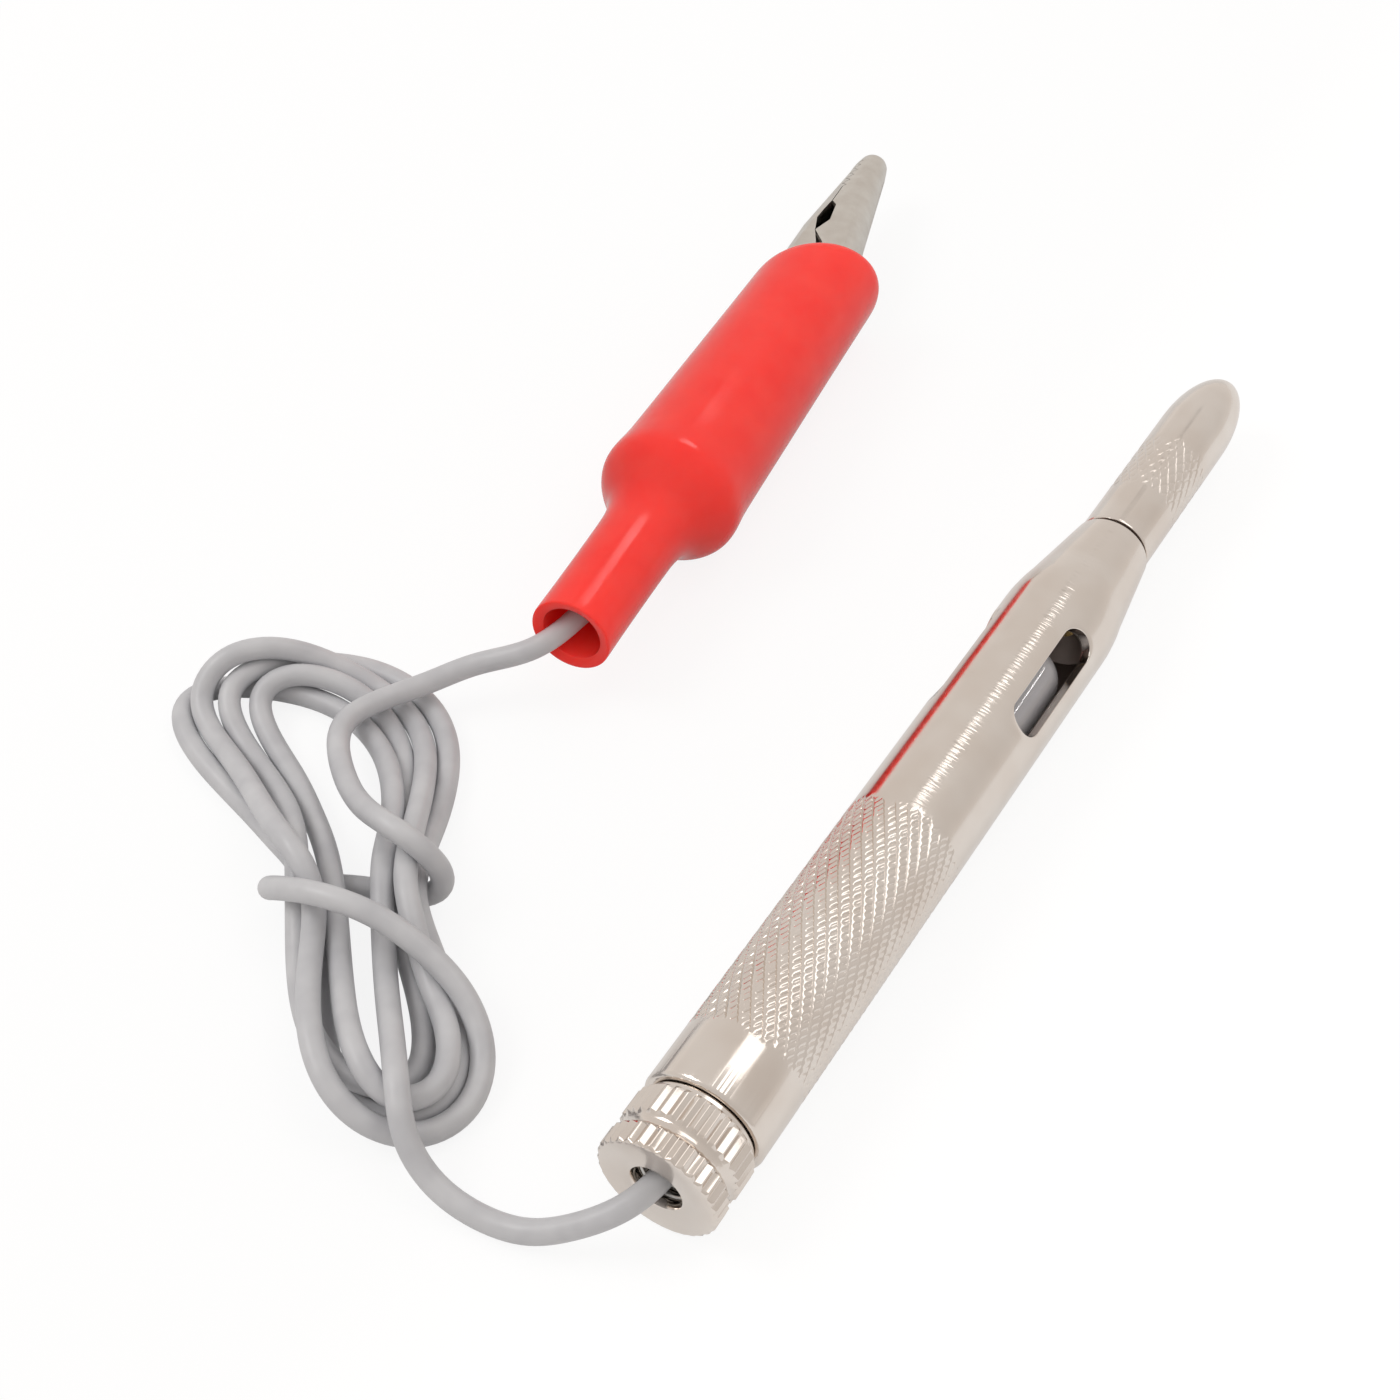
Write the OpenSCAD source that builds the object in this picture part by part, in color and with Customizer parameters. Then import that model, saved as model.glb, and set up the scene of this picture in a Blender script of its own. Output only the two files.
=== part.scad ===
// Pocket circuit tester: a nickel-plated probe pen with a window over its lamp,
// a screw-on needle guard, and an earth lead that ends in a booted crocodile clip.
// The pen lies along X with its guard towards +X, and everything rests on z = 0.

/* [Pen body] */
// Outside diameter of the barrel
barrel_diameter = 12; // [11.6:0.1:13.5]
// Length of the plain polished band behind the knurl
rear_band_length = 6.6; // [5:0.2:10]
// Length of the diamond knurl
knurl_length = 29.4; // [20:0.7:36]
// Length of the smooth grip, up to the start of the taper
grip_length = 33; // [30:0.5:44]
// Length of the taper
taper_length = 14; // [11:0.5:18]
// Wall thickness of the barrel
barrel_wall = 1.2; // [1:0.05:1.3]

/* [Window] */
// Number of window slots around the barrel
window_count = 3; // [1:1:3]
// Length of a slot, end to end
window_length = 14.8; // [9.4:0.2:15.4]
// Width of a slot
window_width = 3.9; // [2.8:0.1:4.3]
// Turn of the first slot from straight up
window_turn = 48; // [0:1:90]

/* [Tail nut] */
// Length of the fluted head
nut_length = 7.1; // [6.5:0.1:9]
// Number of flutes around the head
flute_count = 34; // [24:1:38]
// Depth of a flute
flute_depth = 0.35; // [0.2:0.05:0.45]
// Diameter of the hole the cord comes through
tail_hole_diameter = 5; // [4.6:0.1:5.4]

/* [Needle guard] */
// Length of the guard
guard_length = 31.6; // [29:0.2:36]
// Outside diameter of the guard
guard_diameter = 7.9; // [7.7:0.1:8.2]
// Length of the fine knurled band on the guard
guard_band_length = 9; // [6:0.5:11]

/* [Needle and lamp] */
// Diameter of the probe needle
needle_diameter = 2; // [1.6:0.1:2.3]
// Length of needle that stands out of the nose thread
needle_reach = 19; // [16:0.5:20]
// Diameter of the lamp glass
lamp_diameter = 6.2; // [5.6:0.1:6.6]
// Length of lamp glass in front of its flange
lamp_length = 15; // [13:0.5:18]

/* [Cord] */
// Outside diameter of the cord
cord_diameter = 2.3; // [2:0.1:2.4]
// Height of the hank
hank_height = 5; // [4.6:0.1:7]

/* [Boot and clip] */
// Outside diameter of the boot's neck
neck_diameter = 8.8; // [8.6:0.1:9.8]
// Largest diameter of the boot
bulge_diameter = 16; // [15.6:0.1:17]
// Diameter of the boot at its mouth
mouth_diameter = 14.1; // [13.9:0.1:14.8]
// Wall thickness of the boot
boot_wall = 0.9; // [0.6:0.05:1]
// Turn of the boot from the line of the pen
boot_turn = 7; // [0:1:12]
// Sheet thickness of the clip
sheet = 0.6; // [0.5:0.05:0.7]
// Length of the jaws in front of the rivet
jaw_length = 32; // [30:0.5:36]
// Number of teeth along the jaw
tooth_count = 6; // [4:1:8]

/* [Hidden] */
$fn = 96;
nickel = [0.78, 0.76, 0.73];
steel = [0.72, 0.72, 0.72];
brass = [0.80, 0.66, 0.36];
red = [0.90, 0.22, 0.20];
grey = [0.70, 0.70, 0.71];
clear = [0.92, 0.95, 0.96, 0.35];
fibre = [0.20, 0.19, 0.18];
copper = [0.80, 0.48, 0.32];

// stations along the pen, from the tail face
joint_gap = 0.2;
barrel_start = nut_length + joint_gap;
knurl_start = barrel_start + rear_band_length;
grip_start = knurl_start + knurl_length;
taper_start = grip_start + grip_length;
nose = taper_start + taper_length;
guard_start = nose + 0.1;
pen_length = guard_start + guard_length;
tail = -pen_length / 2;
axis_height = barrel_diameter / 2;

// barrel
barrel_r = barrel_diameter / 2;
bore_r = barrel_r - barrel_wall;
nose_r = guard_diameter / 2 + 0.2;
spigot_r = 2.9;
spigot_length = 5.6;
bore_end = taper_start + 0.4;
nose_bore_r = 1.9;
window_end = taper_start - 2.8;
window_start = window_end - window_length;
edge = 0.35;

// tail nut
nut_r = barrel_r - 0.05;
nut_spigot_length = 5.4;
lip = 0.8;
spring_r = tail_hole_diameter / 2 + 0.3;
spring_wire = 0.6;
spring_pitch = 1.7;
spring_pocket_r = spring_r + 0.25;
coil_steps = 14;
wire_sides = 6;
rim_edge = 0.15;
flute_turn = 4.4;
crest_height = 0.04;
joint_edge = 0.5;
band_groove_start = 2.2;
band_groove_length = 1.45;
band_groove_depth = 0.55;
thread_clearance = 0.05;

// guard
guard_r = guard_diameter / 2;
guard_bore_r = needle_diameter / 2 + 1.3;
guard_band_start = 6.8;
guard_tip_length = 10;
guard_tip_wall = 4;

// needle and its holder
needle_r = needle_diameter / 2;
needle_start = bore_end + 1;
needle_tip = nose + spigot_length + needle_reach;
point_length = 5;

// lamp, from the nose backwards
lamp_r = lamp_diameter / 2;
lamp_flange_r = lamp_r + 0.75;
lamp_seat_length = 3;
seat_setback = 1.6;
lamp_seat_start = window_start - seat_setback - lamp_seat_length;
lamp_flange = 0.8;
lamp_start = lamp_seat_start - lamp_flange;
lamp_shell_length = 8;
shell_floor = 1.2;
lamp_shell_start = lamp_start - lamp_shell_length;
glass_wall = 0.5;
support_r = 0.15;
support_spread = 1.1;
bead_r = 0.5;
filament_r = 0.12;
filament_height = lamp_length * 0.62;

// contact bush, stud and spring
bush_length = 11;
stud_head = 1.5;
solder_height = 0.7;
bush_front = lamp_shell_start - solder_height - stud_head;
bush_start = bush_front - bush_length;
bush_pocket = 3;
slide_clearance = 0.1;
cord_grip = 2.5;
cord_end = bush_start + bush_pocket + cord_grip;
core_r = cord_diameter / 4;
core_clearance = 0.05;
stud_r = 1.6;
stud_seat = 2.5;
stud_head_r = 2.4;
stud_cup = 1;
spring_start = lip;
spring_end = bush_start + bush_pocket;

// boot: its rear mouth is the origin of the clip end
neck_r = neck_diameter / 2;
bulge_r = bulge_diameter / 2;
mouth_r = mouth_diameter / 2;
neck_length = 16.2;
flare_at = 18.6;
bulge_at = 23.6;
shoulder_at = 28;
mouth_at = 64.7;
mouth_slant = 18;
bulge_arc = 3.6;
boot_dip = atan((bulge_r - mouth_r) / (mouth_at - bulge_at));
boot_x = tail + 47.6;
boot_y = 40.3;
boot_z = bulge_r * cos(boot_dip) + bulge_at * sin(boot_dip);

// clip, with the rivet at its origin and the moving jaw on the +y side
rivet_at = 62.5;
clip_offset = 1;
clip_turn = 5;
cheek = 3.4;
ear_gap = 0.08;
ear_r = 2.6;
rivet_r = 0.9;
rivet_head_r = 1.7;
rivet_head = 0.5;
head_gap = 0.05;
rivet_clearance = 0.05;
jaw_gap = 0.05;
back_x = 6;
back_r = 4.7;
front_x = 6;
front_r = 4.45;
jaw_r = 4.1;
snout_r = 2.1;
tip_r = 1.62;
handle_length = 27;
moving_handle_r = 4.8;
fixed_handle_r = 7;
crimp_end = 36;
crimp_length = 5;
crimp_wall = 0.45;
core_length = 4;
coil_wire = 0.5;
coil_r = rivet_r + 0.15 + coil_wire / 2;
coil_turns = 4.5;
coil_pitch = coil_wire + 0.1;
leg_length = 14;
leg_gap = 0.02;
tooth_pitch = 1.55;
tooth_depth = 0.35;
teeth_end = jaw_length - 2;

// cord routes, at the middle of the cord
floor_z = cord_diameter / 2;
pen_route = [
    [tail + cord_end, 0, axis_height],
    [tail + nut_length, 0, axis_height],
    [tail + 2.5, 0.05, axis_height],
    [tail, 0.3, axis_height - 0.05],
    [tail - 1.5, 0.9, axis_height - 0.3],
    [tail - 3, 1.9, axis_height - 0.9],
    [tail - 4.6, 3.6, 4.1],
    [tail - 6, 6, 2.7],
    [tail - 7.1, 9, 1.7],
    [tail - 7.6, 13, floor_z],
    [tail - 7.3, 17, floor_z],
    [tail - 6.2, 20.5, 1.7],
    [tail - 5, 23, 2.4]
];
// the clip's lead, as distance along the boot, distance to its left, and height
clip_lead = [
    [24.6, -2.3, 0],
    [20.7, -2.6, 0],
    [16, -2.1, 0],
    [11, -1.1, 0],
    [6, -0.2, -0.1],
    [3, 0.1, -0.4],
    [0.8, 0.7, -0.9],
    [-1.4, 2.2, -1.6],
    [-3, 4.6, -2.3],
    [-5.5, 7.3, -2.8],
    [-8.5, 9.5, -3.1],
    [-12, 11.6, -3.6],
    [-15.5, 14, -4.6]
];
clip_route = [for (p = clip_lead) from_boot(p)];

// shared helpers

module at_station(s) translate([tail + s, 0, axis_height]) rotate([0, 90, 0]) children();

module turned(points) rotate_extrude() polygon(points);

module tube(outer, inner, length) {
    difference() {
        cylinder(r = outer, h = length);
        translate([0, 0, -1]) cylinder(r = inner, h = length + 2);
    }
}

function unit(v) = v / norm(v);

// a point given in the boot's own directions
function from_boot(p) = [boot_x, boot_y, boot_z]
    + (p[0] * cos(boot_dip) + p[2] * sin(boot_dip)) * [cos(boot_turn), sin(boot_turn), 0]
    + p[1] * [-sin(boot_turn), cos(boot_turn), 0]
    + (p[2] * cos(boot_dip) - p[0] * sin(boot_dip)) * [0, 0, 1];

// points of a circular arc in the half plane of a turned profile
function arc(centre, radius, from, to, steps) = [
    for (i = [0:steps]) let (a = from + (to - from) * i / steps)
        centre + radius * [cos(a), sin(a)]
];

// direction of a route at point i
function heading(route, i) =
    let (last = len(route) - 1)
    unit(route[min(i + 1, last)] - route[max(i - 1, 0)]);

// a ring of the swept section around point i
function ring(route, i, radius, sides) =
    let (
        ahead = heading(route, i),
        across = unit(cross([0, 0, 1], ahead)),
        above = cross(ahead, across)
    )
    [for (k = [0:sides - 1]) let (a = 360 * k / sides)
        route[i] + radius * (cos(a) * across + sin(a) * above)];

// closed tube of round section swept along a route
module swept(route, radius, sides) {
    count = len(route);
    rings = [for (i = [0:count - 1]) each ring(route, i, radius, sides)];
    skin = [for (i = [0:count - 2], k = [0:sides - 1])
        let (a = i * sides + k, b = i * sides + (k + 1) % sides)
        each [[a, a + sides, b], [b, a + sides, b + sides]]];
    near_end = [for (k = [1:sides - 2]) [0, k, k + 1]];
    far_end = [for (k = [1:sides - 2])
        let (a = (count - 1) * sides) [a, a + k + 1, a + k]];
    polyhedron(rings, concat(skin, near_end, far_end), convexity = 6);
}

// points of a helix around Z that rises from z = 0
function helix(radius, pitch, turns, from) = [
    for (i = [0:floor(turns * coil_steps)]) let (a = from + 360 * i / coil_steps)
        [radius * cos(a), radius * sin(a), pitch * i / coil_steps]
];

// the pen, from its tail to its point

module window_cutter() {
    reach = window_length - window_width;
    translate([0, 0, window_start + window_width / 2]) rotate([0, 90, 0]) {
        cylinder(d = window_width, h = barrel_r + 1);
        translate([-reach, 0, 0]) cylinder(d = window_width, h = barrel_r + 1);
        translate([-reach, -window_width / 2, 0])
            cube([reach, window_width, barrel_r + 1]);
    }
}

module barrel() color(nickel) at_station(0) difference() {
    turned([
        [bore_r, barrel_start],
        [barrel_r - edge, barrel_start],
        [barrel_r, barrel_start + edge],
        [barrel_r, taper_start],
        [barrel_r - 0.06, taper_start + 1.5],
        [barrel_r - 0.22, taper_start + 3],
        [barrel_r - 0.5, taper_start + 4.6],
        [nose_r, nose],
        [spigot_r, nose],
        [spigot_r, nose + spigot_length - edge],
        [spigot_r - edge, nose + spigot_length],
        [nose_bore_r, nose + spigot_length],
        [nose_bore_r, bore_end + 2.5],
        [bore_r, bore_end]
    ]);
    for (i = [0:window_count - 1])
        rotate([0, 0, 180 + window_turn + i * 120]) window_cutter();
}

// the fluted section, its sharp crests a little outside the head's diameter
module fluted_form() linear_extrude(height = nut_length + nut_spigot_length) polygon([
    for (i = [0:2 * flute_count - 1])
        let (a = flute_turn + 180 * i / flute_count)
        (i % 2 == 0 ? nut_r + crest_height : nut_r - flute_depth) * [cos(a), sin(a)]
]);

module tail_nut() color(nickel) at_station(0) {
    groove_end = band_groove_start + band_groove_length;
    spigot_end = nut_length + nut_spigot_length;
    intersection() {
        turned([
            [tail_hole_diameter / 2, 0],
            [nut_r - rim_edge, 0],
            [nut_r, rim_edge],
            [nut_r, band_groove_start],
            [nut_r - band_groove_depth, band_groove_start + 0.35],
            [nut_r - band_groove_depth, groove_end - 0.35],
            [nut_r, groove_end],
            [nut_r, nut_length - joint_edge],
            [nut_r - joint_edge, nut_length],
            [bore_r - thread_clearance, nut_length],
            [bore_r - thread_clearance, spigot_end - edge],
            [bore_r - thread_clearance - edge, spigot_end],
            [spring_pocket_r, spigot_end],
            [spring_pocket_r, lip],
            [tail_hole_diameter / 2, lip]
        ]);
        fluted_form();
    }
}

module contact_spring() color(steel) at_station(spring_start) {
    wire_r = spring_wire / 2;
    length = spring_end - spring_start - spring_wire;
    turns = length / spring_pitch;
    translate([0, 0, wire_r])
        swept(helix(spring_r - wire_r, spring_pitch, turns, 0), wire_r, wire_sides);
}

module contact_bush() color(fibre) at_station(bush_start) {
    cord_hole_r = cord_diameter / 2 + core_clearance;
    turned([
        [spring_pocket_r, 0],
        [bore_r - slide_clearance, 0],
        [bore_r - slide_clearance, bush_length],
        [stud_r, bush_length],
        [stud_r, bush_length - stud_seat],
        [core_r + core_clearance, bush_length - stud_seat],
        [core_r + core_clearance, bush_pocket + cord_grip],
        [cord_hole_r, bush_pocket + cord_grip],
        [cord_hole_r, bush_pocket],
        [spring_pocket_r, bush_pocket]
    ]);
}

// solid stud with a cup at the back for the bare core
module contact_stud() color(brass) at_station(bush_front - stud_seat) {
    top = stud_seat + stud_head;
    turned([
        [0, stud_cup],
        [core_r, stud_cup],
        [core_r, 0],
        [stud_r, 0],
        [stud_r, stud_seat],
        [stud_head_r, stud_seat],
        [stud_head_r, top - 0.6],
        [stud_head_r - 0.8, top],
        [0, top]
    ]);
}

module core_pen() color(copper) at_station(cord_end) {
    cup_end = bush_front - stud_seat + stud_cup;
    cylinder(r = core_r, h = cup_end - cord_end, $fn = 32);
}

module lamp_contact() color(steel) at_station(bush_front + stud_head)
    cylinder(r = stud_r - 0.2, h = solder_height);

module lamp_shell() color(brass) at_station(lamp_shell_start) {
    shell_r = lamp_r + 0.1;
    top = lamp_shell_length;
    turned([
        [0, 0],
        [shell_r - edge, 0],
        [shell_r, edge],
        [shell_r, top],
        [lamp_flange_r, top],
        [lamp_flange_r, top + lamp_flange],
        [lamp_r - 1, top + lamp_flange],
        [lamp_r - 1, shell_floor],
        [0, shell_floor]
    ]);
}

// glass envelope with a round end, cemented into the mouth of the shell
module lamp_glass() color(clear) at_station(lamp_start) {
    straight = lamp_length + lamp_flange - lamp_r;
    turned(concat(
        [[lamp_r - 1, lamp_flange], [lamp_r, lamp_flange]],
        arc([0, straight], lamp_r, 0, 90, 12),
        arc([0, straight], lamp_r - glass_wall, 90, 0, 12),
        [[lamp_r - glass_wall, lamp_flange + 1], [lamp_r - 1, lamp_flange + 0.5]]
    ));
}

// glass bead and the two wires that carry the filament
module lamp_supports() color(steel) at_station(lamp_shell_start + shell_floor) {
    reach = lamp_start - lamp_shell_start + filament_height;
    bead_length = 2 * (support_spread + bead_r) - 0.2;
    for (side = [-1, 1])
        translate([0, side * support_spread, 0])
            cylinder(r = support_r, h = reach, $fn = 16);
    translate([0, 0, lamp_shell_length]) rotate([90, 0, 0])
        cylinder(r = bead_r, h = bead_length, center = true, $fn = 32);
}

module lamp_filament() color(steel)
    at_station(lamp_start + filament_height + shell_floor - support_r) rotate([90, 0, 0])
        cylinder(r = filament_r, h = 2 * (support_spread - support_r), center = true,
            $fn = 16);

module lamp_seat() color(brass) at_station(lamp_seat_start)
    tube(bore_r, lamp_r + 0.1, lamp_seat_length);

module needle_holder() color(brass) at_station(needle_start)
    tube(nose_bore_r, needle_r, nose + spigot_length - needle_start);

module probe_needle() color(steel) at_station(needle_start) turned([
    [0, 0],
    [needle_r, 0],
    [needle_r, needle_tip - needle_start - point_length],
    [0.12, needle_tip - needle_start],
    [0, needle_tip - needle_start]
]);

module needle_guard() color(nickel) at_station(guard_start) {
    shoulder = guard_length - guard_tip_length;
    pocket_end = guard_length - guard_tip_wall;
    turned(concat(
        [
            [spigot_r + thread_clearance, 0],
            [guard_r - edge, 0],
            [guard_r, edge],
            [guard_r, guard_band_start - 0.4],
            [guard_r - 0.2, guard_band_start - 0.2],
            [guard_r - 0.2, guard_band_start],
            [guard_r, guard_band_start],
            [guard_r, guard_band_start + guard_band_length],
            [guard_r - 0.2, guard_band_start + guard_band_length],
            [guard_r - 0.2, guard_band_start + guard_band_length + 0.2],
            [guard_r, guard_band_start + guard_band_length + 0.4]
        ],
        [for (a = [6:7:90]) [guard_r * cos(a), shoulder + guard_tip_length * sin(a)]],
        [
            [0, pocket_end],
            [guard_bore_r, pocket_end],
            [guard_bore_r, spigot_length + 0.6],
            [spigot_r + thread_clearance, spigot_length + 0.3]
        ]
    ));
}

// the lead

module cord_pen() color(grey) swept(pen_route, cord_diameter / 2, 8);

module cord_clip() color(grey) swept(clip_route, cord_diameter / 2, 8);

// a round-edged disc of the bundle's height, placed from the end of the pen
module puck(x, y, radius) translate([tail + x, y, 0]) {
    rim = cord_diameter / 2;
    rotate_extrude($fn = 32) polygon(concat(
        [[0, 0]],
        arc([radius - rim, rim], rim, -90, 0, 4),
        arc([radius - rim, hank_height - rim], rim, 0, 90, 4),
        [[0, hank_height]]
    ));
}

// the tied bundle as one solid of its outer shape
module cord_hank() color(grey) {
    hull() {
        puck(2.4, 27, 9.2);
        puck(12.5, 41, 7);
    }
    hull() {
        puck(12.5, 41, 7);
        puck(24.5, 64, 9.4);
        puck(29, 54, 9);
    }
}

// the boot and the clip inside it

module at_boot() translate([boot_x, boot_y, boot_z])
    rotate([0, boot_dip, boot_turn]) children();

module at_clip() at_boot()
    translate([rivet_at, clip_offset, 0]) rotate([180, 0, clip_turn]) children();

function boot_profile(inset) =
    let (
        bulge = arc([bulge_at, bulge_r - bulge_arc], bulge_arc - inset, 140, 78, 8)
    )
    concat(
        [
            [-1, neck_r - inset],
            [neck_length - 3, neck_r - inset - 0.05],
            [neck_length, neck_r - inset + 0.08],
            [flare_at, neck_r - inset + 0.6]
        ],
        bulge,
        [
            [shoulder_at - 1.4, bulge_r - inset - 0.2],
            [shoulder_at, bulge_r - inset - 0.3],
            [mouth_at, mouth_r - inset],
            [mouth_at + 6, mouth_r - inset]
        ]
    );

module boot_form(inset) rotate([90, 0, 90]) rotate_extrude() polygon(concat(
    [[0, -1]],
    [for (p = boot_profile(inset)) [p[1], p[0]]],
    [[0, mouth_at + 6]]
));

module boot() color(red) at_boot() difference() {
    boot_form(0);
    boot_form(boot_wall);
    translate([-5, -10, -10]) cube([5, 20, 20]);
    translate([mouth_at, 0, -10]) rotate([0, 0, mouth_slant])
        translate([0, -15, 0]) cube([20, 30, 20]);
}

// how far to the side a spring leg ends, at a height, to lie just inside a handle
function leg_end(handle_r, height) =
    let (
        share = (leg_length - back_x) / (handle_length - back_x),
        inner = back_r + (handle_r - back_r) * share - sheet
    )
    sqrt(pow(inner - coil_wire / 2 - leg_gap, 2) - pow(height, 2));

// the closed clip as one turned form, with a handle that ends at radius handle_r
module clip_form(handle_r, inset) intersection() {
    rotate([90, 0, 90]) rotate_extrude() polygon(concat(
        [
            [0, -handle_length - inset],
            [handle_r - inset, -handle_length - inset],
            [back_r - inset, -back_x],
            [front_r - inset, front_x],
            [jaw_r - inset, 2 * front_x],
            [snout_r - inset, jaw_length - 4]
        ],
        arc([0, jaw_length - tip_r], tip_r - inset, 5, 90, 8)
    ));
    translate([-60, -12, inset - cheek]) cube([120, 24, 2 * (cheek - inset)]);
}

module clip_sheet(handle_r) difference() {
    clip_form(handle_r, 0);
    clip_form(handle_r, sheet);
}

module across_clip() linear_extrude(height = 20, center = true) children();

// height of the line the two jaws meet on
function bite(x) = -1.45 + 0.02 * (x - 16);

// region of the moving jaw in front of the rivet, shrunk by gap along its teeth
module bite_region(gap) polygon(concat(
    [[3, 0.8], [7.5, 0.1], [9.6, -1.45 + gap]],
    [for (i = [0:tooth_count - 1])
        let (x = teeth_end - (tooth_count - i) * tooth_pitch)
        each [
            [x, bite(x) + gap],
            [x + tooth_pitch * 0.25, bite(x) + gap + tooth_depth],
            [x + tooth_pitch * 0.75, bite(x) + gap - tooth_depth]
        ]],
    [[teeth_end, bite(teeth_end) + gap]],
    [[jaw_length + 1, bite(jaw_length) + gap], [jaw_length + 1, 12], [3, 12]]
));

// round-nosed gap behind the teeth, and the gap that widens back to the rivet
module jaw_gaps() {
    polygon([[9.6, -1.45], [12.2, -2], [16.5, -1.45], [15.6, -0.65], [12.3, -0.4]]);
    polygon([[9.6, -1.45], [7.5, 0.1], [3, 0.8], [3, -0.6], [7.1, -0.55]]);
}

// side view of a handle with the cheek over the rivet, on the +y side
module handle_region(depth) {
    polygon([
        [-handle_length, 12],
        [-handle_length, depth],
        [-back_x, 3.4],
        [-ear_r, 0.6],
        [4.2, 0.6],
        [4.2, 12]
    ]);
}

module pivot_hole() translate([0, 0, -10])
    cylinder(r = rivet_r + rivet_clearance, h = 20, $fn = 48);

module clip_moving_jaw() color(nickel) at_clip() difference() {
    intersection() {
        clip_sheet(moving_handle_r);
        across_clip() difference() {
            union() {
                bite_region(jaw_gap);
                handle_region(moving_handle_r - 1.2);
                circle(r = ear_r);
            }
            jaw_gaps();
        }
    }
    pivot_hole();
}

// the fixed jaw's cheeks are stepped in so that they sit inside the moving ones
module fixed_cheeks() {
    inner = cheek - sheet - ear_gap;
    intersection() {
        for (side = [-1, 1])
            translate([0, 0, side * (inner - sheet / 2)])
                linear_extrude(height = sheet, center = true) polygon([
                    [-4.5, -4.8], [7.5, -4.8], [6, -2.4], [2.2, 1.7], [-2.2, 1.7]
                ]);
        clip_form(fixed_handle_r, 0.1);
    }
}

// strip and rolled ferrule that grip the end of the cord
module crimp() {
    reach = crimp_end - handle_length;
    crimp_r = cord_diameter / 2 + crimp_wall;
    translate([-crimp_end - crimp_length, 0, 0]) rotate([0, 90, 0])
        tube(crimp_r, cord_diameter / 2, crimp_length);
    linear_extrude(height = 3, center = true) polygon([
        [-handle_length + 1, -fixed_handle_r + 0.1],
        [-handle_length + 1, -fixed_handle_r + 0.1 + sheet],
        [-crimp_end + 1, -crimp_r + sheet],
        [-crimp_end - 1, -crimp_r + 0.35],
        [-crimp_end - 1, -crimp_r + 0.05],
        [-crimp_end + 0.7, -crimp_r + 0.05]
    ]);
}

module clip_fixed_jaw() color(nickel) at_clip() {
    difference() {
        union() {
            intersection() {
                clip_sheet(fixed_handle_r);
                across_clip() difference() {
                    union() {
                        difference() {
                            translate([3, -12]) square([jaw_length, 24]);
                            bite_region(-jaw_gap);
                        }
                        mirror([0, 1]) handle_region(fixed_handle_r - 1.4);
                    }
                    jaw_gaps();
                    circle(r = ear_r + 0.5);
                }
            }
            fixed_cheeks();
            crimp();
        }
        pivot_hole();
    }
}

module clip_rivet() color(steel) at_clip() {
    shank = cheek + head_gap;
    translate([0, 0, -shank - rivet_head])
        cylinder(r = rivet_head_r, h = rivet_head, $fn = 48);
    translate([0, 0, -shank]) cylinder(r = rivet_r, h = 2 * shank, $fn = 48);
    translate([0, 0, shank]) cylinder(r = rivet_head_r, h = rivet_head, $fn = 48);
}

// torsion spring: a coil around the rivet, with a leg behind each handle
module clip_spring() color(steel) at_clip() {
    half = coil_pitch * coil_turns / 2;
    translate([0, 0, -half]) swept(concat(
        [[-leg_length, -leg_end(fixed_handle_r, half), 0]],
        helix(coil_r, coil_pitch, coil_turns, -90),
        [[-leg_length, leg_end(moving_handle_r, half), 2 * half]]
    ), coil_wire / 2, wire_sides);
}

module core_clip() color(copper) at_clip()
    translate([-crimp_end - core_length / 2, 0, 0]) rotate([0, 90, 0])
        cylinder(r = core_r, h = core_length, $fn = 32);

barrel();
tail_nut();
contact_spring();
contact_bush();
contact_stud();
lamp_contact();
lamp_shell();
lamp_supports();
lamp_filament();
lamp_glass();
lamp_seat();
needle_holder();
probe_needle();
needle_guard();
core_pen();
cord_pen();
cord_hank();
cord_clip();
core_clip();
boot();
clip_fixed_jaw();
clip_moving_jaw();
clip_rivet();
clip_spring();
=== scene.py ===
from math import ceil, copysign, cos, pi, radians, sin, sqrt, tan

import bmesh
import bpy
from mathutils import Matrix, Vector


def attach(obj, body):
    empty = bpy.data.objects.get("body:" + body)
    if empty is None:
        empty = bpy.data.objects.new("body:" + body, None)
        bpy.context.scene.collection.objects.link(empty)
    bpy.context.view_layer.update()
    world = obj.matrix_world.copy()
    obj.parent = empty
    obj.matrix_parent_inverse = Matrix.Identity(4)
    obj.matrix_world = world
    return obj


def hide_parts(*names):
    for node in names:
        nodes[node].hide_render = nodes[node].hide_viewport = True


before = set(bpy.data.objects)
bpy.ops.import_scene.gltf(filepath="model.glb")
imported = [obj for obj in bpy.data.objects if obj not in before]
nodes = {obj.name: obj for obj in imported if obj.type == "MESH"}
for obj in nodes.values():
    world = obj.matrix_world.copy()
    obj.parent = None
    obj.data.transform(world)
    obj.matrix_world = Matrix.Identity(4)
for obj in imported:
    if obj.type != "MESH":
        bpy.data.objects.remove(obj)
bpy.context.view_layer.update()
mm = 0.001
# the pen's axis lies along X at a height over the floor; stations count from its tail
axisHeight = 6.0
tailX = -61.0
penPlace = Matrix.Translation((tailX, 0, axisHeight))


def addObject(name, data):
    obj = bpy.data.objects.new(name, data)
    bpy.context.collection.objects.link(obj)
    return obj


# camera, at the photograph's viewpoint

view = {
    "place": (-141.385, -53.747, 169.860),
    "right": (0.52360, -0.85196, 0.0),
    "up": (0.62487, 0.38404, 0.67974),
    "back": (-0.57911, -0.35591, 0.73345),
    "lens": 57.705,
    "sensor": 36,
    # nearest and farthest seen, in metres
    "reach": (0.01, 20),
}


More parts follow.
